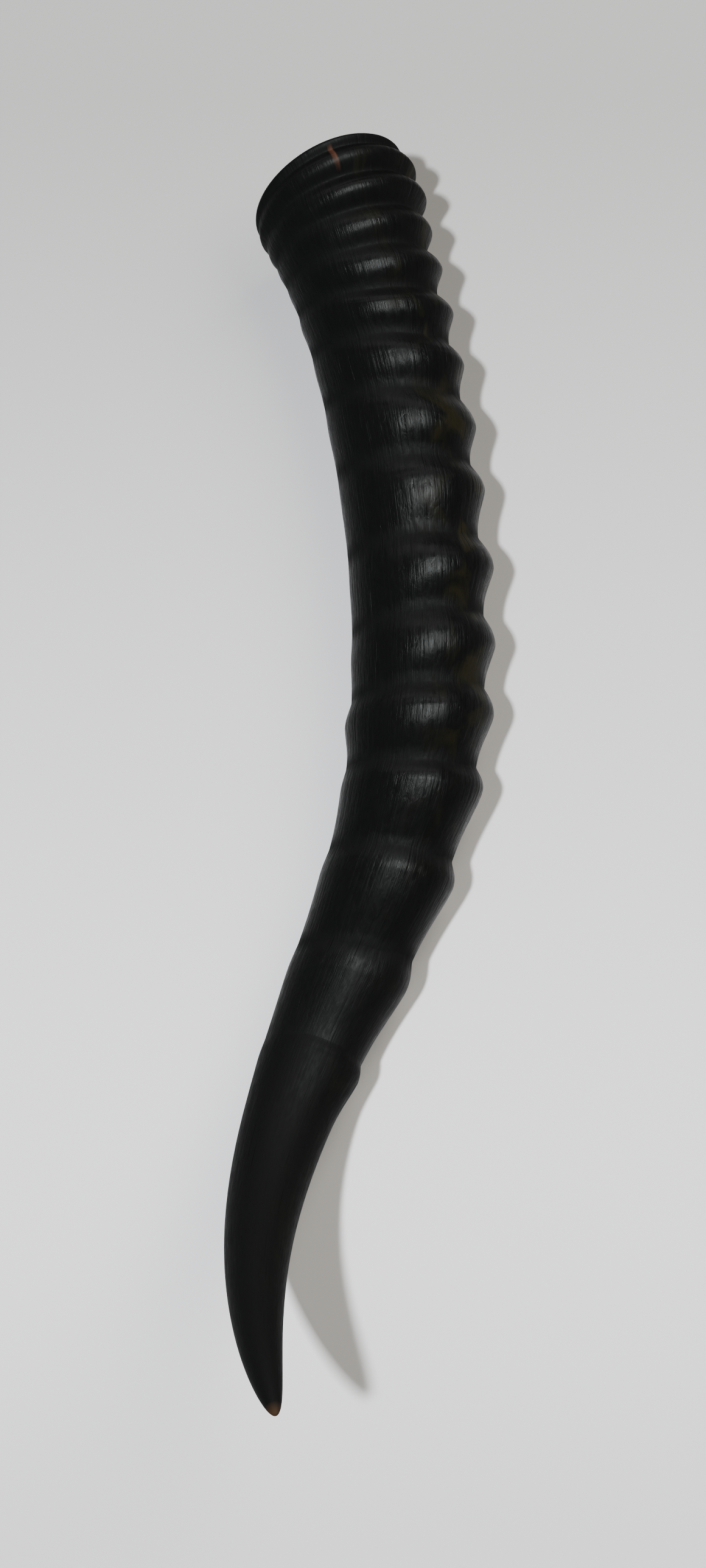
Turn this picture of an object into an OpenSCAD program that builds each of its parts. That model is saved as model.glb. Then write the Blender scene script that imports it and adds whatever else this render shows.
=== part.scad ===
// Ringed antelope horn of the shofar family, polished black, lying on its side.
// A horn sheath is a stack of nested keratin cones. Each cone ends, on the side of the
// bell, in a thick lip: those lips are the rings. The next younger cone has a thinner
// tongue that is seated inside that lip. The last cone is the smooth closed tip.
// +Y is towards the bell, -Y towards the tip, +X is the ringed front, +Z is up.

/* [Horn] */
// Length along the curve, from the bell to the tip
horn_length = 400; // [340:5:440]
// Half width of the bell, from its centre to the ringed front
bell_half_width = 23.8; // [20:0.2:30]
// Thickness of the horn as a share of its width
thickness_ratio = 0.88; // [0.8:0.01:1]
// How far the cut across the bell leans out at the top, in degrees
bell_lean = 21.5; // [0:0.5:24]

/* [Curve] */
// Strength of the S curve, 1 as on the real horn
curl = 1; // [0.6:0.05:1.2]
// Steepest climb of the smooth tip, in degrees
tip_lift = 37; // [20:1:45]

/* [Rings] */
// Height of a full ring on the front
ring_front = 3.2; // [1.5:0.1:4]
// Height of a full ring on the back
ring_back = 0.8; // [0.3:0.1:1.2]
// How far along its ring each crest stands, 1 as on the real horn
crest_place = 1; // [0.8:0.05:1.2]

/* [Hollow] */
// Thickness of the wall at the bell
bell_wall = 3.6; // [3:0.1:5]
// Depth of the hollow that the bone core leaves, as a share of the horn's length
hollow_reach = 0.58; // [0.56:0.01:0.6]
// Longest tongue seated inside the next lip
tongue_length = 8; // [4:1:9]

/* [Hidden] */
// Where each ring's lip starts, as shares of the horn's length from the bell
RING_STARTS = [0, 0.006, 0.022, 0.0425, 0.066, 0.095, 0.131, 0.173,
               0.226, 0.2865, 0.344, 0.3975, 0.4525, 0.517, 0.593, 0.673];
// Each ring's height as a share of a full ring, on the front and on the back
FRONT_SHARES = [0.3, 1.1, 1.35, 1, 1.05, 1.1, 1, 1.1,
                1.05, 1.35, 1.05, 1.05, 1.05, 0.9, 0.7, 0.45];
BACK_SHARES = [0.3, 1.1, 0.7, 0.4, 0.35, 0.7, 0.4, 0.4,
               0.2, 0.3, 0.5, 2, 0.8, 0.8, 0.55, 0.35];
// Where each ring is highest, as a share of its length
CREST_SHARES = [0.3, 0.5, 0.5, 0.45, 0.4, 0.36, 0.37, 0.42,
                0.36, 0.42, 0.42, 0.36, 0.25, 0.25, 0.28, 0.25];
// Each list below has a value at every tenth of the length, from the bell to the tip
HEADINGS = [21, 15.5, 9, 4, -2.5, -15, -22.5, -19.5, -9.5, 4, 16];
LIFT_SHARES = [-0.095, -0.07, -0.03, 0, -0.03, -0.09, -0.055, 0.42, 0.84, 1, 1];
FULLNESS = [1, 0.915, 0.935, 0.97, 1.045, 1.06, 1.065, 1.03, 1, 1, 1.02];
RING_SLANTS = [0.1, -0.14, -0.1, 0.09, 0.145, 0.18, 0.24, 0.1, 0.05, 0, 0];

cone_count = len(RING_STARTS);
last_cone = cone_count - 1;
sides = 28;
spine_step = 2;
spine_steps = ceil(horn_length / spine_step);
hollow_depth = hollow_reach * horn_length;
end_gap = 0.2;
tip_sections = 18;
last_ring = 0.055 * horn_length;
lean_reach = 35;
LIP_POINTS = [0, 0.15, 0.4, 0.7, 1];
SLOPE_POINTS = [0.12, 0.3, 0.5, 0.75, 1];

// A smooth curve (Catmull-Rom) through evenly spaced values, for share from 0 to 1
function along_list(values, share) =
    let (last = len(values) - 1,
         x = min(max(share, 0), 1) * last,
         i = min(floor(x), last - 1),
         t = x - i,
         a = values[max(i - 1, 0)],
         b = values[i],
         c = values[i + 1],
         d = values[min(i + 2, last)])
    b + 0.5 * t * (c - a + t * (2 * a - 5 * b + 4 * c - d + t * (3 * (b - c) + d - a)));

// The spine: its direction at each distance from the bell, and the points it runs through
function heading(s) = curl * along_list(HEADINGS, s / horn_length);
function lift(s) = tip_lift * along_list(LIFT_SHARES, s / horn_length);
function forward(s) =
    [sin(heading(s)) * cos(lift(s)), -cos(heading(s)) * cos(lift(s)), sin(lift(s))];
function sideways(s) = [cos(heading(s)), sin(heading(s)), 0];
SPINE = [for (i = 0, p = [0, 0, 0]; i <= spine_steps;
              p = p + spine_step * forward((i + 0.5) * spine_step), i = i + 1) p];
function spine_point(s) =
    let (i = min(floor(s / spine_step), spine_steps - 1), t = s / spine_step - i)
    SPINE[i] * (1 - t) + SPINE[i + 1] * t;

// Sizes across the horn
function half_width(s) =
    bell_half_width * along_list(FULLNESS, s / horn_length) * sqrt(1 - s / horn_length);
function hollow_share(s) =
    (1 - bell_wall / bell_half_width) * sqrt(max(0, 1 - pow(s / hollow_depth, 2)));
function seat_share(s) = (1 + hollow_share(s)) / 2;

// How far the cuts lean: the bell's cut out at the top, the rings to the front or back
function top_lean(s) = tan(bell_lean) * pow(max(0, 1 - s / lean_reach), 1.3);
function front_lean(s) = along_list(RING_SLANTS, s / horn_length);

// One closed outline across the horn: a share of its size, plus the rise of ring k at
// share t of that ring's length
function outline(s, share, k = undef, t = 0) =
    let (middle = spine_point(s), right = sideways(s), ahead = forward(s),
         top = cross(ahead, right), a = half_width(s) * share)
    [for (j = [0 : sides - 1])
        let (angle = 360 * j / sides,
             rise = k == undef ? 0 : ring_rise(k, t, angle),
             x = (a + rise) * cos(angle),
             y = (a * thickness_ratio + rise) * sin(angle))
        middle + right * x + top * y - ahead * (top_lean(s) * y + front_lean(s) * x)];

function start_of(k) = k < cone_count ? RING_STARTS[k] * horn_length : horn_length;
function seat_end(k) =
    start_of(k) + min(tongue_length, 0.6 * (start_of(k + 1) - start_of(k)));

// How high ring k stands at share t of its length, as a share: a round lip, then a slope
// that falls away at once on the front and the back, and later on the sides
function crest(k) = crest_place * CREST_SHARES[k];
function ring_shape(k, t, angle) =
    let (u = (t - crest(k)) / (1 - crest(k)))
    t < crest(k) ? 0.5 - 0.5 * cos(180 * pow(t / crest(k), 0.7))
                 : 0.5 + 0.5 * cos(180 * pow(u, 0.7 + 0.7 * pow(sin(angle), 2)));
function ring_rise(k, t, angle) =
    let (front = (1 + cos(angle)) / 2)
    ring_shape(k, t, angle) * (ring_front * FRONT_SHARES[k] * front
                               + ring_back * BACK_SHARES[k] * (1 - front));
function ring_outline(k, t, reach, s = undef) =
    outline(s == undef ? start_of(k) + t * reach : s, 1, k, t);

// The outside of cone k, from its lip to where the next lip starts
function lip_outlines(k, reach) =
    [for (t = LIP_POINTS) ring_outline(k, t * crest(k), reach)];
function slope_outlines(k, reach) =
    [for (t = SLOPE_POINTS) ring_outline(k, crest(k) + t * (1 - crest(k)), reach)];

// The outside of the tip beyond its lip, with outlines closer together towards its end
function tip_outlines() =
    let (far = horn_length - end_gap - start_of(last_cone) - crest(last_cone) * last_ring)
    [for (i = [1 : tip_sections])
        let (s = horn_length - end_gap - far * pow(1 - i / tip_sections, 2))
        ring_outline(last_cone, min(1, (s - start_of(last_cone)) / last_ring),
                     last_ring, s)];

// A closed skin over a row of outlines: joined end to start, or capped at both ends
module skin(outlines, capped) {
    rows = len(outlines);
    last_row = capped ? rows - 2 : rows - 1;
    points = [for (row = outlines) each row];
    walls = [for (i = [0 : last_row], j = [0 : sides - 1])
        let (next = (j + 1) % sides, a = i * sides, b = ((i + 1) % rows) * sides)
        each [[a + j, b + next, a + next], [a + j, b + j, b + next]]];
    first_cap = [for (j = [1 : sides - 2]) [0, j, j + 1]];
    base = (rows - 1) * sides;
    end_cap = [for (j = [1 : sides - 2]) [base, base + j + 1, base + j]];
    polyhedron(points, capped ? concat(walls, first_cap, end_cap) : walls);
}

// The socket of cone k, from its floor out to the lip: what the younger tongue fills
function socket_outlines(k) =
    [outline(seat_end(k), seat_share(seat_end(k))),
     outline(start_of(k), seat_share(start_of(k)))];
// The tongue of cone k, from its shoulder to its end, inside cone k + 1
function tongue_outlines(k) =
    [outline(start_of(k + 1), seat_share(start_of(k + 1))),
     outline(seat_end(k + 1), seat_share(seat_end(k + 1)))];
// The wall of the hollow from one distance back to another
function hollow_outlines(from, to, steps) =
    [for (i = [0 : steps]) let (s = from + (to - from) * i / steps) outline(s, hollow_share(s))];

module bell_cone() {
    reach = start_of(1);
    skin(concat(lip_outlines(0, reach), slope_outlines(0, reach), tongue_outlines(0),
                hollow_outlines(seat_end(1), 0, 2)), false);
}

// A cone that the hollow runs right through
module hollow_cone(k) {
    reach = start_of(k + 1) - start_of(k);
    skin(concat(socket_outlines(k), lip_outlines(k, reach), slope_outlines(k, reach),
                tongue_outlines(k), hollow_outlines(seat_end(k + 1), seat_end(k), 2)), false);
}

// The cone in which the hollow ends in a rounded floor
module floor_cone(k) {
    reach = start_of(k + 1) - start_of(k);
    deepest = hollow_depth - end_gap;
    skin(concat(hollow_outlines(deepest, seat_end(k), 5), socket_outlines(k),
                lip_outlines(k, reach), slope_outlines(k, reach), tongue_outlines(k)), true);
}

// A cone of solid horn, beyond the hollow
module solid_cone(k) {
    reach = start_of(k + 1) - start_of(k);
    skin(concat(socket_outlines(k), lip_outlines(k, reach), slope_outlines(k, reach),
                tongue_outlines(k)), true);
}

module tip_cone() {
    skin(concat(socket_outlines(last_cone), lip_outlines(last_cone, last_ring),
                tip_outlines()), true);
}

// Puts the origin at the middle of the horn's box, on the surface that it lies on
OUTSIDE = [for (k = [0 : last_cone - 1])
               each concat(lip_outlines(k, start_of(k + 1) - start_of(k)),
                           slope_outlines(k, start_of(k + 1) - start_of(k)))];
CORNERS = [for (row = concat(OUTSIDE, tip_outlines())) each row];
XS = [for (p = CORNERS) p.x];
YS = [for (p = CORNERS) p.y];
ZS = [for (p = CORNERS) p.z];
module in_place() {
    translate([-(min(XS) + max(XS)) / 2, -(min(YS) + max(YS)) / 2, -min(ZS)]) children();
}

module bell_rim() color("#1d1b18") in_place() bell_cone();
module growth_ring(k) {
    color("#161514") in_place() {
        if (seat_end(k + 1) < hollow_depth) hollow_cone(k);
        else if (seat_end(k) < hollow_depth) floor_cone(k);
        else solid_cone(k);
    }
}
module horn_tip() color("#121212") in_place() tip_cone();

bell_rim();
growth_ring(1);  // growth_ring_01
growth_ring(2);  // growth_ring_02
growth_ring(3);  // growth_ring_03
growth_ring(4);  // growth_ring_04
growth_ring(5);  // growth_ring_05
growth_ring(6);  // growth_ring_06
growth_ring(7);  // growth_ring_07
growth_ring(8);  // growth_ring_08
growth_ring(9);  // growth_ring_09
growth_ring(10);  // growth_ring_10
growth_ring(11);  // growth_ring_11
growth_ring(12);  // growth_ring_12
growth_ring(13);  // growth_ring_13
growth_ring(14);  // growth_ring_14
horn_tip();
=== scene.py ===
import math

import bpy
import numpy as np
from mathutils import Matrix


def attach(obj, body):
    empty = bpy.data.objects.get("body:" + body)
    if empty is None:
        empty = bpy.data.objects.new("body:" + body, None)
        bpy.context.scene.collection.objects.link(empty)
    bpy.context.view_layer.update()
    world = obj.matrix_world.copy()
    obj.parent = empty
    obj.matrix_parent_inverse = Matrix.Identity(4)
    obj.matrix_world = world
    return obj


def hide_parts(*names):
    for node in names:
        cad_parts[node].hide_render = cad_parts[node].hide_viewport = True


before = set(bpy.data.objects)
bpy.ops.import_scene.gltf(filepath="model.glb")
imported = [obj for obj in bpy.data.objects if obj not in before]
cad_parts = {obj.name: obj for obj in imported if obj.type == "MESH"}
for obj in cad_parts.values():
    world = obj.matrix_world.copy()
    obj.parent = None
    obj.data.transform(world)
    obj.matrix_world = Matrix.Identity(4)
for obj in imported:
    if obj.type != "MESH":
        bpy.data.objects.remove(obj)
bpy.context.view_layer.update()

# ---------------------------------------------------------------------------
# The bell rim.
# The youngest cone of the sheath, and the thinnest: the free edge of the horn round the
# mouth of the hollow. Black keratin, sawn on a slant, bevelled and polished.

# Sizes are in millimetres, as the horn was designed, and go into the scene in metres
MILLIMETRE = 0.001
HORN_LENGTH = 400.0
BELL_HALF_WIDTH = 23.8
THICKNESS_RATIO = 0.88
STEEPEST_CLIMB = 37
SPINE_STEP = 2.0

# At every tenth of the horn's length, from the bell to the tip: the way it heads, how much
# of its steepest climb it has, how full it is, and how far its rings slant
HEADINGS = np.array([21, 15.5, 9, 4, -2.5, -15, -22.5, -19.5, -9.5, 4, 16])
LIFTS = STEEPEST_CLIMB * np.array([-0.095, -0.07, -0.03, 0, -0.03, -0.09, -0.055, 0.42, 0.84, 1, 1])
FULLNESS = np.array([1, 0.915, 0.935, 0.97, 1.045, 1.06, 1.065, 1.03, 1, 1, 1.02])
RING_SLANTS = np.array([0.1, -0.14, -0.1, 0.09, 0.145, 0.18, 0.24, 0.1, 0.05, 0, 0])


def along_list(values, distance):
    """A smooth curve through evenly spaced values, read at a distance from the bell."""
    last = len(values) - 1
    x = np.clip(np.asarray(distance) / HORN_LENGTH, 0, 1) * last
    i = np.minimum(np.floor(x).astype(int), last - 1)
    t = x - i
    a, b = values[np.maximum(i - 1, 0)], values[i]
    c, d = values[i + 1], values[np.minimum(i + 2, last)]
    return b + 0.5 * t * (c - a + t * (2 * a - 5 * b + 4 * c - d + t * (3 * (b - c) + d - a)))


def forward(distance):
    """The way the horn grows, at a distance from the bell."""
    heading = np.radians(along_list(HEADINGS, distance))
    lift = np.radians(along_list(LIFTS, distance))
    level = np.cos(lift)
    return np.stack([np.sin(heading) * level, -np.cos(heading) * level, np.sin(lift)], -1)


def sideways(distance):
    """From the middle of the horn towards its ringed front."""
    heading = np.radians(along_list(HEADINGS, distance))
    return np.stack([np.cos(heading), np.sin(heading), 0 * heading], -1)


spine_marks = np.arange(0, HORN_LENGTH + SPINE_STEP, SPINE_STEP)
spine_moves = SPINE_STEP * forward(spine_marks[:-1] + SPINE_STEP / 2)
spine = np.vstack([[0, 0, 0], np.cumsum(spine_moves, axis=0)])


def spine_point(distance):
    """The middle of the horn, at a distance from the bell."""
    return np.stack([np.interp(distance, spine_marks, spine[:, i]) for i in range(3)], -1)


def half_width(distance):
    """From the middle of the horn to its plain front, between rings."""
    taper = np.sqrt(np.maximum(0, 1 - distance / HORN_LENGTH))
    return BELL_HALF_WIDTH * along_list(FULLNESS, distance) * taper


# The cut across the bell leans out at the top, and the rings near it lean less and less
BELL_LEAN = math.tan(math.radians(21.5))
LEAN_REACH = 35.0
LEAN_FADE = 1.3


def across_horn(distance, angle, share, rise):
    """Points across the horn in its own millimetres: a share of its size, plus a rise."""
    middle, right, ahead = spine_point(distance), sideways(distance), forward(distance)
    top = np.cross(ahead, right)
    size = half_width(distance) * share
    x = (size + rise) * np.cos(angle)
    y = (size * THICKNESS_RATIO + rise) * np.sin(angle)
    lean = BELL_LEAN * np.maximum(0, 1 - distance / LEAN_REACH) ** LEAN_FADE
    back = lean * y + along_list(RING_SLANTS, distance) * x
    return middle + right * x[..., None] + top * y[..., None] - ahead * back[..., None]


# The rings: where each lip starts, its height on the front and on the back, and where
# along its ring the crest stands. The first is the bell's own rim and the last is the tip's.
RING_STARTS = HORN_LENGTH * np.array([
    0, 0.006, 0.022, 0.0425, 0.066, 0.095, 0.131, 0.173,
    0.226, 0.2865, 0.344, 0.3975, 0.4525, 0.517, 0.593, 0.673])
FULL_FRONT = 3.2
FRONT_RISES = FULL_FRONT * np.array([
    0.3, 1.1, 1.35, 1, 1.05, 1.1, 1, 1.1, 1.05, 1.35, 1.05, 1.05, 1.05, 0.9, 0.7, 0.45])
FULL_BACK = 0.8
BACK_RISES = FULL_BACK * np.array([
    0.3, 1.1, 0.7, 0.4, 0.35, 0.7, 0.4, 0.4, 0.2, 0.3, 0.5, 2, 0.8, 0.8, 0.55, 0.35])
CREST_SHARES = np.array([
    0.3, 0.5, 0.5, 0.45, 0.4, 0.36, 0.37, 0.42, 0.36, 0.42, 0.42, 0.36, 0.25, 0.25, 0.28, 0.25])
LAST_RING = 0.055 * HORN_LENGTH
TIP_CONE = 15
ROUNDNESS = 0.7


def ring_shape(k, t, angle):
    """How high ring k stands at share t of its length: a round lip, then a slope.

    The slope falls away at once on the front and the back, and later on the sides.
    """
    crest = CREST_SHARES[k]
    lip = 0.5 - 0.5 * np.cos(math.pi * np.clip(t / crest, 0, 1) ** ROUNDNESS)
    slope = np.clip((t - crest) / (1 - crest), 0, 1)
    fall = ROUNDNESS * (1 + np.sin(angle) ** 2)
    return np.where(t < crest, lip, 0.5 + 0.5 * np.cos(math.pi * slope ** fall))


def waves(angle, seed, counts, heights):
    """A slow wave round the horn, made of a few cosines with their own turns."""
    turns = np.random.default_rng(seed).uniform(0, 2 * math.pi, len(counts))
    return sum(h * np.cos(n * angle + p) for n, h, p in zip(counts, heights, turns))


WANDER_COUNTS = (2, 3, 5, 8)
WANDER_SHARES = (0.014, 0.012, 0.01, 0.006)
MOST_ROOM = 24.0


def ring_start(k, angle):
    """Where lip k starts, wandering a little round the horn as a grown edge does."""
    if k == 0:
        return np.zeros_like(angle)
    room = min(RING_STARTS[k] - RING_STARTS[k - 1], MOST_ROOM)
    return RING_STARTS[k] + room * waves(angle, 40 + k, WANDER_COUNTS, WANDER_SHARES)


# Each ring is a little lower than the design's and uneven round the horn, so that no bump
# of it stands out past the horn's own box
USUAL_HEIGHT = 0.958
UNEVEN_COUNTS = (2, 3, 7)
UNEVEN_SHARES = (0.022, 0.022, 0.016)
# The front is higher than the back over half the turn, and over less of it on the tip
TIP_FRONT = 2.5
# Weak grooves along the horn, drifting a little as they go
GROOVE_COUNTS = (31, 43, 58, 71)
GROOVE_DEPTHS = (0.002, 0.003, 0.004, 0.004)
DRIFT = 0.03
DRIFT_LENGTH = 17
GROOVE_LENGTH = 9
# A crease below the crest of each ring, which comes and goes round the horn
CREASE_DEPTH = 0.07
CREASE_PLACE = 0.72
CREASE_WOBBLE = 0.05
CREASE_SHARPNESS = 26
# How fast both fade in and out along a ring, and how far from the point they end
DETAIL_FADE = 6
POINT_REACH = 60


def outer_rise(k, t, distance, angle):
    """How far the outside of cone k stands above the plain taper."""
    front = (0.5 + 0.5 * np.cos(angle)) ** (1 if k < TIP_CONE else TIP_FRONT)
    height = BACK_RISES[k] + (FRONT_RISES[k] - BACK_RISES[k]) * front
    height = height * (USUAL_HEIGHT + waves(angle, 90 + k, UNEVEN_COUNTS, UNEVEN_SHARES))
    inside = np.clip(DETAIL_FADE * t, 0, 1) * np.clip(DETAIL_FADE * (1 - t), 0, 1)
    inside = inside * np.clip((HORN_LENGTH - distance) / POINT_REACH, 0, 1)
    drift = angle + DRIFT * np.sin(distance / DRIFT_LENGTH + k)
    grooves = waves(drift, 11, GROOVE_COUNTS, GROOVE_DEPTHS)
    grooves = grooves * (0.6 + 0.4 * np.sin(distance / GROOVE_LENGTH + 3 * np.sin(angle)))
    line = CREST_SHARES[k] * (CREASE_PLACE + CREASE_WOBBLE * np.sin(2 * angle + k))
    crease = np.exp(-((t - line) * CREASE_SHARPNESS) ** 2) * np.clip(np.sin(angle + 0.3), 0, 1)
    crease = CREASE_DEPTH * crease * (0.5 + 0.5 * np.sin(3 * angle + 2 * k))
    return height * ring_shape(k, t, angle) + (grooves - crease) * inside


ANGLES = 400
angles = np.linspace(0, 2 * math.pi, ANGLES, endpoint=False)[None, :]


def outer_rows(k, shares):
    """Rows of points on the outside of cone k, at shares of the way to the next lip."""
    t = np.asarray(shares)[:, None]
    start = ring_start(k, angles)
    end = ring_start(k + 1, angles)
    distance = start + t * (end - start)
    t = t + 0 * distance
    wide = angles + 0 * distance
    return across_horn(distance, wide, 1, outer_rise(k, t, distance, wide)), distance


BELL_WALL = 3.6
HOLLOW_DEPTH = 0.58 * HORN_LENGTH


def hollow_share(distance):
    """Size of the hollow that the bone core leaves, as a share of the outside's."""
    deep = np.sqrt(np.maximum(0, 1 - (distance / HOLLOW_DEPTH) ** 2))
    return (1 - BELL_WALL / BELL_HALF_WIDTH) * deep


def inner_rows(distances, share):
    """Rows of points on a wall inside the horn, whose size is a share of the outside's."""
    distance = np.asarray(distances, float)[:, None] + 0 * angles
    wide = angles + 0 * distance
    return across_horn(distance, wide, share(distance), 0 * distance), distance


def seat_share(distance):
    """Size of a tongue and of the socket that it fills: halfway through the wall."""
    return (1 + hollow_share(distance)) / 2


# A tongue is this long, or on a short cone this share of the way to the next lip
TONGUE_LENGTH = 8.0
TONGUE_SHARE = 0.6


def seat_end(k):
    """How far from the bell the tongue inside lip k ends."""
    starts = np.append(RING_STARTS, HORN_LENGTH)
    return starts[k] + min(TONGUE_LENGTH, TONGUE_SHARE * (starts[k + 1] - starts[k]))


# From the middle of the bell to the frame's origin, the middle of the horn's box on the
# surface that it lies on. The horn is drawn a hair under size, to stay inside that box.
TO_FRAME = np.array([-10.64, 178.63, 23.555])
DRAWN_SIZE = 0.9985
# For the grain, the horn is straight and this thick all along
GRAIN_RADIUS = 20
# The polish comes up this far from the middle of each valley, over this length
DULL_HALF_WIDTH = 0.5
POLISH_LENGTH = 3.5


def grown_piece(name, parts, capped, sharp_rows):
    """One closed mesh over rows of points, in the place where the frame has the horn.

    Each point keeps its place in a straight horn, for the grain, and how polished it is.
    """
    points = np.concatenate([p for p, _ in parts])
    distance = np.concatenate([d for _, d in parts])
    count = len(points)
    rows = np.arange(count - 1 if capped else count)
    a = rows[:, None] * ANGLES + np.arange(ANGLES)
    b = ((rows + 1) % count)[:, None] * ANGLES + np.arange(ANGLES)
    quads = np.stack([a, np.roll(a, -1, 1), np.roll(b, -1, 1), b], -1).reshape(-1, 4)
    faces = quads.tolist()
    if capped:
        faces.append(list(range(ANGLES))[::-1])
        faces.append(list(range((count - 1) * ANGLES, count * ANGLES)))
    mesh = bpy.data.meshes.new(name)
    placed = (points + TO_FRAME) * DRAWN_SIZE * MILLIMETRE
    mesh.from_pydata(placed.reshape(-1, 3).tolist(), [], faces)
    mesh.polygons.foreach_set("use_smooth", np.ones(len(faces), bool))
    grown = mesh.attributes.new("grown", "FLOAT_VECTOR", "POINT")
    straight = np.stack([GRAIN_RADIUS * np.cos(angles) + 0 * distance,
                         GRAIN_RADIUS * np.sin(angles) + 0 * distance, distance], -1)
    grown.data.foreach_set("vector", straight.reshape(-1).astype(np.float32))
    nearest = np.abs(distance[..., None] - RING_STARTS[1:TIP_CONE]).min(-1)
    polish = mesh.attributes.new("polish", "FLOAT", "POINT")
    polished = np.clip((nearest - DULL_HALF_WIDTH) / POLISH_LENGTH, 0, 1)
    polish.data.foreach_set("value", polished.reshape(-1))
    edges = np.zeros(len(mesh.edges) * 2, np.int32)
    mesh.edges.foreach_get("vertices", edges)
    row_of = edges.reshape(-1, 2) // ANGLES
    sharp = (row_of[:, 0] == row_of[:, 1]) & np.isin(row_of[:, 0], sharp_rows)
    edge_mark = mesh.attributes.new("sharp_edge", "BOOLEAN", "EDGE")
    edge_mark.data.foreach_set("value", sharp)
    mesh.update()
    piece = bpy.data.objects.new(name, mesh)
    bpy.context.collection.objects.link(piece)
    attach(piece, "root")
    return piece


def link(tree, source, target):
    """Joins a node's output to another node's input."""
    tree.links.new(source, target)


BLACK = (0.0036, 0.0039, 0.0038)
OLIVE = (0.0105, 0.0098, 0.0052)
CRACK_BLACK = (0.002, 0.002, 0.002)
POINT_BROWN = (0.035, 0.02, 0.011)
STREAK_BROWN = (0.055, 0.023, 0.014)
KERATIN_IOR = 1.54
POLISHED = 0.022
SATIN = 0.017
GRAIN_RELIEF = 0.00014


def horn_material(name, shine, streaked):
    """Polished keratin: near black, with fine lengthwise grain, cracks and warmer patches.

    The streak is the one thin orange-brown line of pale keratin beside the rim.
    """
    material = bpy.data.materials.new(name)
    material.use_nodes = True
    tree = material.node_tree
    nodes = tree.nodes
    shader = nodes["Principled BSDF"]
    shader.inputs["IOR"].default_value = KERATIN_IOR
    shader.inputs["Specular IOR Level"].default_value = shine
    place = nodes.new("ShaderNodeAttribute")
    place.attribute_name = "grown"
    axes = nodes.new("ShaderNodeSeparateXYZ")
    link(tree, place.outputs["Vector"], axes.inputs["Vector"])

    def grain(scale, stretch, detail, distortion=0.0):
        """Noise in the straight horn, drawn out along it."""
        squeeze = nodes.new("ShaderNodeMapping")
        squeeze.inputs["Scale"].default_value = (scale, scale, scale * stretch)
        link(tree, place.outputs["Vector"], squeeze.inputs["Vector"])
        noise = nodes.new("ShaderNodeTexNoise")
        noise.inputs["Scale"].default_value = 1.0
        noise.inputs["Detail"].default_value = detail
        noise.inputs["Distortion"].default_value = distortion
        link(tree, squeeze.outputs["Vector"], noise.inputs["Vector"])
        return noise.outputs["Fac"]

    def ramp(value, low, high, at_low=0.0, at_high=1.0):
        """Runs from one result to another as a value goes from low to high."""
        spread = nodes.new("ShaderNodeMapRange")
        spread.inputs["From Min"].default_value = low
        spread.inputs["From Max"].default_value = high
        spread.inputs["To Min"].default_value = at_low
        spread.inputs["To Max"].default_value = at_high
        link(tree, value, spread.inputs["Value"])
        return spread.outputs["Result"]

    def combine(kind, a, b=0.0):
        """One step of arithmetic on two values, each a plain number or an earlier result."""
        node = nodes.new("ShaderNodeMath")
        node.operation = kind
        for socket, value in zip(node.inputs, (a, b)):
            if isinstance(value, float):
                socket.default_value = value
            else:
                link(tree, value, socket)
        return node.outputs["Value"]

    def blend(amount, first, second):
        """A colour between two, each a plain colour or another blend."""
        node = nodes.new("ShaderNodeMix")
        node.data_type = "RGBA"
        for socket, value in ((node.inputs["A"], first), (node.inputs["B"], second)):
            if isinstance(value, tuple):
                socket.default_value = (*value, 1)
            else:
                link(tree, value, socket)
        link(tree, amount, node.inputs["Factor"])
        return node.outputs["Result"]

    fine = grain(3.4, 0.03, 3.0)
    streaks = grain(1.3, 0.03, 4.0)
    blotches = grain(0.11, 0.8, 3.0, 0.6)
    cracks = ramp(grain(1.5, 0.02, 2.0), 0.26, 0.31)
    mottled = grain(0.55, 0.45, 3.0, 0.4)
    from_bell = axes.outputs["Z"]
    front = ramp(axes.outputs["X"], 0.0, 14.0)
    polish = nodes.new("ShaderNodeAttribute")
    polish.attribute_name = "polish"
    satin = ramp(from_bell, 205.0, 285.0)

    # Olive patches on the front near the bell, dark cracks, and a brown point
    patches = combine("MULTIPLY", ramp(blotches, 0.52, 0.68), front)
    patches = combine("MULTIPLY", patches, ramp(from_bell, 150.0, 230.0, 1.0, 0.15))
    colour = blend(patches, BLACK, OLIVE)
    colour = blend(cracks, CRACK_BLACK, colour)
    colour = blend(ramp(from_bell, 396.5, 399.5), colour, POINT_BROWN)
    if streaked:
        off_line = combine("ABSOLUTE", combine("SUBTRACT", axes.outputs["X"], 2.1))
        line = ramp(off_line, 0.35, 0.75, 1.0, 0.0)
        line = combine("MULTIPLY", line, ramp(axes.outputs["Y"], 5.0, 10.0))
        line = combine("MULTIPLY", line, ramp(from_bell, 1.2, 2.2))
        line = combine("MULTIPLY", line, ramp(from_bell, 5.0, 8.0, 1.0, 0.0))
        line = combine("MULTIPLY", line, ramp(streaks, 0.3, 0.5, 0.4, 1.0))
        colour = blend(line, colour, STREAK_BROWN)
    link(tree, colour, shader.inputs["Base Color"])

    # Rougher along the grain, in cracks, in the valleys between rings, and on the tip
    rough = combine("ADD", ramp(streaks, 0.3, 0.7, 0.22, 0.34), ramp(cracks, 0.0, 1.0, 0.25, 0.0))
    rough = combine("ADD", rough, ramp(mottled, 0.35, 0.65, -0.05, 0.09))
    rough = combine("ADD", rough, ramp(polish.outputs["Fac"], 0.0, 1.0, 0.3, 0.0))
    rough = combine("ADD", rough, combine("MULTIPLY", satin, 0.24))
    link(tree, rough, shader.inputs["Roughness"])

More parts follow.
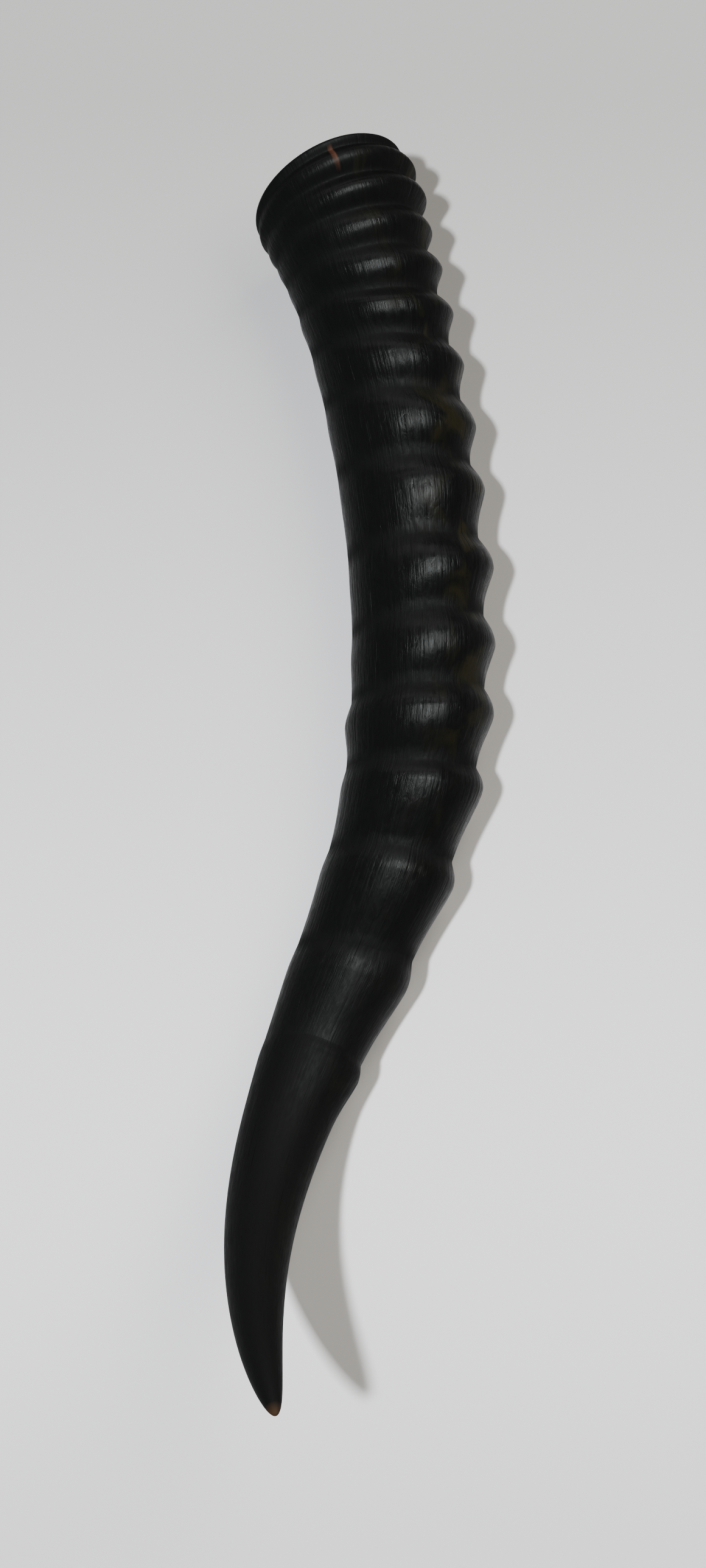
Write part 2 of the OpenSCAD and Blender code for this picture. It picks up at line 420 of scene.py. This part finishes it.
    # The finest relief: the grain itself, the cracks, and a soft unevenness of the polish
    height = combine("ADD", combine("MULTIPLY", fine, 0.55), combine("MULTIPLY", streaks, 1.0))
    height = combine("ADD", height, combine("MULTIPLY", cracks, 0.6))
    height = combine("ADD", height, combine("MULTIPLY", mottled, 1.3))
    bump = nodes.new("ShaderNodeBump")
    link(tree, ramp(satin, 0.0, 1.0, 1.0, 0.35), bump.inputs["Strength"])
    bump.inputs["Distance"].default_value = GRAIN_RELIEF
    link(tree, height, bump.inputs["Height"])
    link(tree, bump.outputs["Normal"], shader.inputs["Normal"])
    return material


BELL_HOLLOW_ROWS = 16
bell_shares = np.concatenate([np.linspace(0, 0.35, 5), np.linspace(0.42, 1, 10)])
tongue_end = seat_end(1)
bell_parts = [
    outer_rows(0, bell_shares),
    inner_rows([RING_STARTS[1], tongue_end], seat_share),
    inner_rows(np.linspace(tongue_end, 0, BELL_HOLLOW_ROWS), hollow_share),
]
last = len(bell_shares) - 1
sharp_rows = [0, last, last + 1, last + 2, last + 3, last + 2 + BELL_HOLLOW_ROWS]
bell = grown_piece("bell_rim_horn", bell_parts, False, sharp_rows)
bell.data.materials.append(horn_material("bell_keratin", POLISHED, True))
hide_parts("bell_rim")

# ---------------------------------------------------------------------------
# The growth rings.
# Fourteen cones of keratin, each grown a season after the one tipwards of it. Each ends in
# a thick polished lip towards the bell, and its thin end is seated inside the next lip.

LIP_ROWS = 36
SLOPE_ROWS = 56
HOLLOW_ROWS = 12
FLOOR_ROWS = 24
# The hollow's rounded floor stops just short of closing on itself
FLOOR_GAP = 0.2
ring_keratin = horn_material("ring_keratin", POLISHED, True)

for k in range(1, TIP_CONE):
    crest = CREST_SHARES[k]
    lip = np.linspace(0, crest, LIP_ROWS, endpoint=False)
    shares = np.concatenate([lip, np.linspace(crest, 1, SLOPE_ROWS)])
    socket_floor = seat_end(k)
    tongue_end = seat_end(k + 1)
    outside = outer_rows(k, shares)
    tongue = inner_rows([RING_STARTS[k + 1], tongue_end], seat_share)
    socket = inner_rows([socket_floor, RING_STARTS[k]], seat_share)
    parts = [socket, outside, tongue]
    first = len(socket[0])
    if tongue_end < HOLLOW_DEPTH:
        hollow = np.linspace(tongue_end, socket_floor, HOLLOW_ROWS)
        parts.append(inner_rows(hollow, hollow_share))
    elif socket_floor < HOLLOW_DEPTH:
        hollow = np.linspace(HOLLOW_DEPTH - FLOOR_GAP, socket_floor, FLOOR_ROWS)
        parts.insert(0, inner_rows(hollow, hollow_share))
        first += FLOOR_ROWS
    last = first + len(shares) - 1
    sharp_rows = [first - 2, first - 1, first, last, last + 1, last + 2, last + 3]
    solid = tongue_end >= HOLLOW_DEPTH
    piece = grown_piece(f"growth_ring_horn_{k:02d}", parts, solid, sharp_rows)
    piece.data.materials.append(ring_keratin)
    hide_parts(f"growth_ring_{k:02d}")

# ---------------------------------------------------------------------------
# The tip.
# The oldest cone, solid and smooth: the first horn that the animal grew, rubbed to a satin
# finish and closing in a sharp point that shows brown where the keratin is thin.

# The point is rubbed off just short of its full length
TIP_END = HORN_LENGTH - 0.1
TIP_LIP_ROWS = 16
POINT_ROWS = 220
tip_start = RING_STARTS[TIP_CONE]
tip_lip = CREST_SHARES[TIP_CONE] * LAST_RING
lip_run = np.linspace(0, tip_lip, TIP_LIP_ROWS, endpoint=False)
towards_point = 1 - np.linspace(1, 0, POINT_ROWS) ** 2
point_run = tip_lip + (TIP_END - tip_start - tip_lip) * towards_point
run = np.concatenate([lip_run, point_run])[:, None] + 0 * angles
start = ring_start(TIP_CONE, angles)
distance = np.minimum(start + run * (TIP_END - start) / (TIP_END - tip_start), TIP_END)
wide = angles + 0 * distance
rise = outer_rise(TIP_CONE, np.clip(run / LAST_RING, 0, 1), distance, wide)
tip_outside = (across_horn(distance, wide, 1, rise), distance)
tip_socket = inner_rows([seat_end(TIP_CONE), tip_start], seat_share)
tip = grown_piece("horn_tip_horn", [tip_socket, tip_outside], True, [0, 1, 2])
tip.data.materials.append(horn_material("tip_keratin", SATIN, False))
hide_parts("horn_tip")

# ---------------------------------------------------------------------------
# The floor.
# Pale, under the horn and not part of it, and a little darker towards the bell: painted shade
# standing in for the fall-off of the lamps' light.

FLOOR_HALF = 6.0
# The painted shade runs from beyond the tip to beyond the bell
PAINTED_SHADE_REACH = 0.22
floor_mesh = bpy.data.meshes.new("floor")
floor_mesh.from_pydata([(-FLOOR_HALF, -FLOOR_HALF, 0), (FLOOR_HALF, -FLOOR_HALF, 0),
                        (FLOOR_HALF, FLOOR_HALF, 0), (-FLOOR_HALF, FLOOR_HALF, 0)],
                       [], [(0, 1, 2, 3)])
floor = bpy.data.objects.new("floor", floor_mesh)
bpy.context.collection.objects.link(floor)
floor_with_painted_shade = bpy.data.materials.new("floor_with_painted_shade")
floor_with_painted_shade.use_nodes = True
floor_tree = floor_with_painted_shade.node_tree
floor_shader = floor_tree.nodes["Principled BSDF"]
floor_shader.inputs["Roughness"].default_value = 0.9
floor_shader.inputs["Specular IOR Level"].default_value = 0.1
floor_place = floor_tree.nodes.new("ShaderNodeNewGeometry")
floor_axes = floor_tree.nodes.new("ShaderNodeSeparateXYZ")
link(floor_tree, floor_place.outputs["Position"], floor_axes.inputs["Vector"])
along_floor = floor_tree.nodes.new("ShaderNodeMapRange")
along_floor.inputs["From Min"].default_value = -PAINTED_SHADE_REACH
along_floor.inputs["From Max"].default_value = PAINTED_SHADE_REACH
link(floor_tree, floor_axes.outputs["Y"], along_floor.inputs["Value"])
# Painted shade: the floor's colour is lightest on the tip's side of the middle and darkest beyond
# the bell, in place of the lamps' fall-off
painted_falloff = floor_tree.nodes.new("ShaderNodeValToRGB")
painted_falloff.color_ramp.interpolation = "B_SPLINE"
for at, grey in ((0.12, 0.72), (0.3, 0.76), (0.5, 0.66), (0.75, 0.5)):
    painted_falloff.color_ramp.elements.new(at).color = (grey, grey * 1.005, grey * 1.03, 1)
painted_falloff.color_ramp.elements[0].color = (0.62, 0.62, 0.63, 1)
painted_falloff.color_ramp.elements[5].color = (0.34, 0.34, 0.34, 1)
link(floor_tree, along_floor.outputs["Result"], painted_falloff.inputs["Fac"])
link(floor_tree, painted_falloff.outputs["Color"], floor_shader.inputs["Base Color"])
floor.data.materials.append(floor_with_painted_shade)

# ---------------------------------------------------------------------------
# The light.
# A far lamp on the near left, a wide warm one on the far right for the shadows, two
# dim panels that only the polish shows, and a dark room.

ROOM_LIGHT = 0.075
world = bpy.data.worlds.new("room")
bpy.context.scene.world = world
world.use_nodes = True
world.node_tree.nodes["Background"].inputs["Color"].default_value = (0.93, 0.97, 1.0, 1)
world.node_tree.nodes["Background"].inputs["Strength"].default_value = ROOM_LIGHT


def soft_lamp(name, place, size, height, power, colour):
    """A square lamp at a place in metres, facing the horn."""
    data = bpy.data.lights.new(name, "AREA")
    data.shape = "RECTANGLE"
    data.size = size
    data.size_y = height
    data.energy = power
    data.color = colour
    lamp = bpy.data.objects.new(name, data)
    lamp.location = place
    lamp.rotation_euler = lamp.location.to_track_quat("Z", "Y").to_euler()
    bpy.context.collection.objects.link(lamp)
    return lamp


key = soft_lamp("key", (-1.2, -0.8, 4.0), 0.22, 0.22, 335, (0.97, 0.985, 1.0))
key.visible_glossy = False
fill = soft_lamp("fill", (0.9, 0.75, 1.5), 1.4, 1.4, 31, (1.0, 0.935, 0.81))
fill.visible_glossy = False
gloss = soft_lamp("gloss", (0.44, 0.33, 1.7), 0.55, 0.75, 125, (0.95, 1.0, 1.0))
gloss.visible_diffuse = False
window = soft_lamp("window", (0.1, 1.7, 1.6), 3.0, 0.7, 60, (1.0, 1.0, 0.97))
window.visible_diffuse = False

# ---------------------------------------------------------------------------
# The camera.
# High over the table on the tip's side, in metres.

CAMERA_HEIGHT_ANGLE = math.radians(76)
CAMERA_AWAY = 1.206
LOOKS_AT = np.array([-0.0031, 0.0015, 0.0])
LENS = 94.0
camera = bpy.data.objects.new("camera", bpy.data.cameras.new("camera"))
towards_camera = np.array([0, -math.cos(CAMERA_HEIGHT_ANGLE), math.sin(CAMERA_HEIGHT_ANGLE)])
camera.location = LOOKS_AT + towards_camera * CAMERA_AWAY
camera.rotation_euler = (math.radians(90) - CAMERA_HEIGHT_ANGLE, 0, 0)
camera.data.lens = LENS
camera.data.clip_end = 50
bpy.context.collection.objects.link(camera)
bpy.context.scene.camera = camera
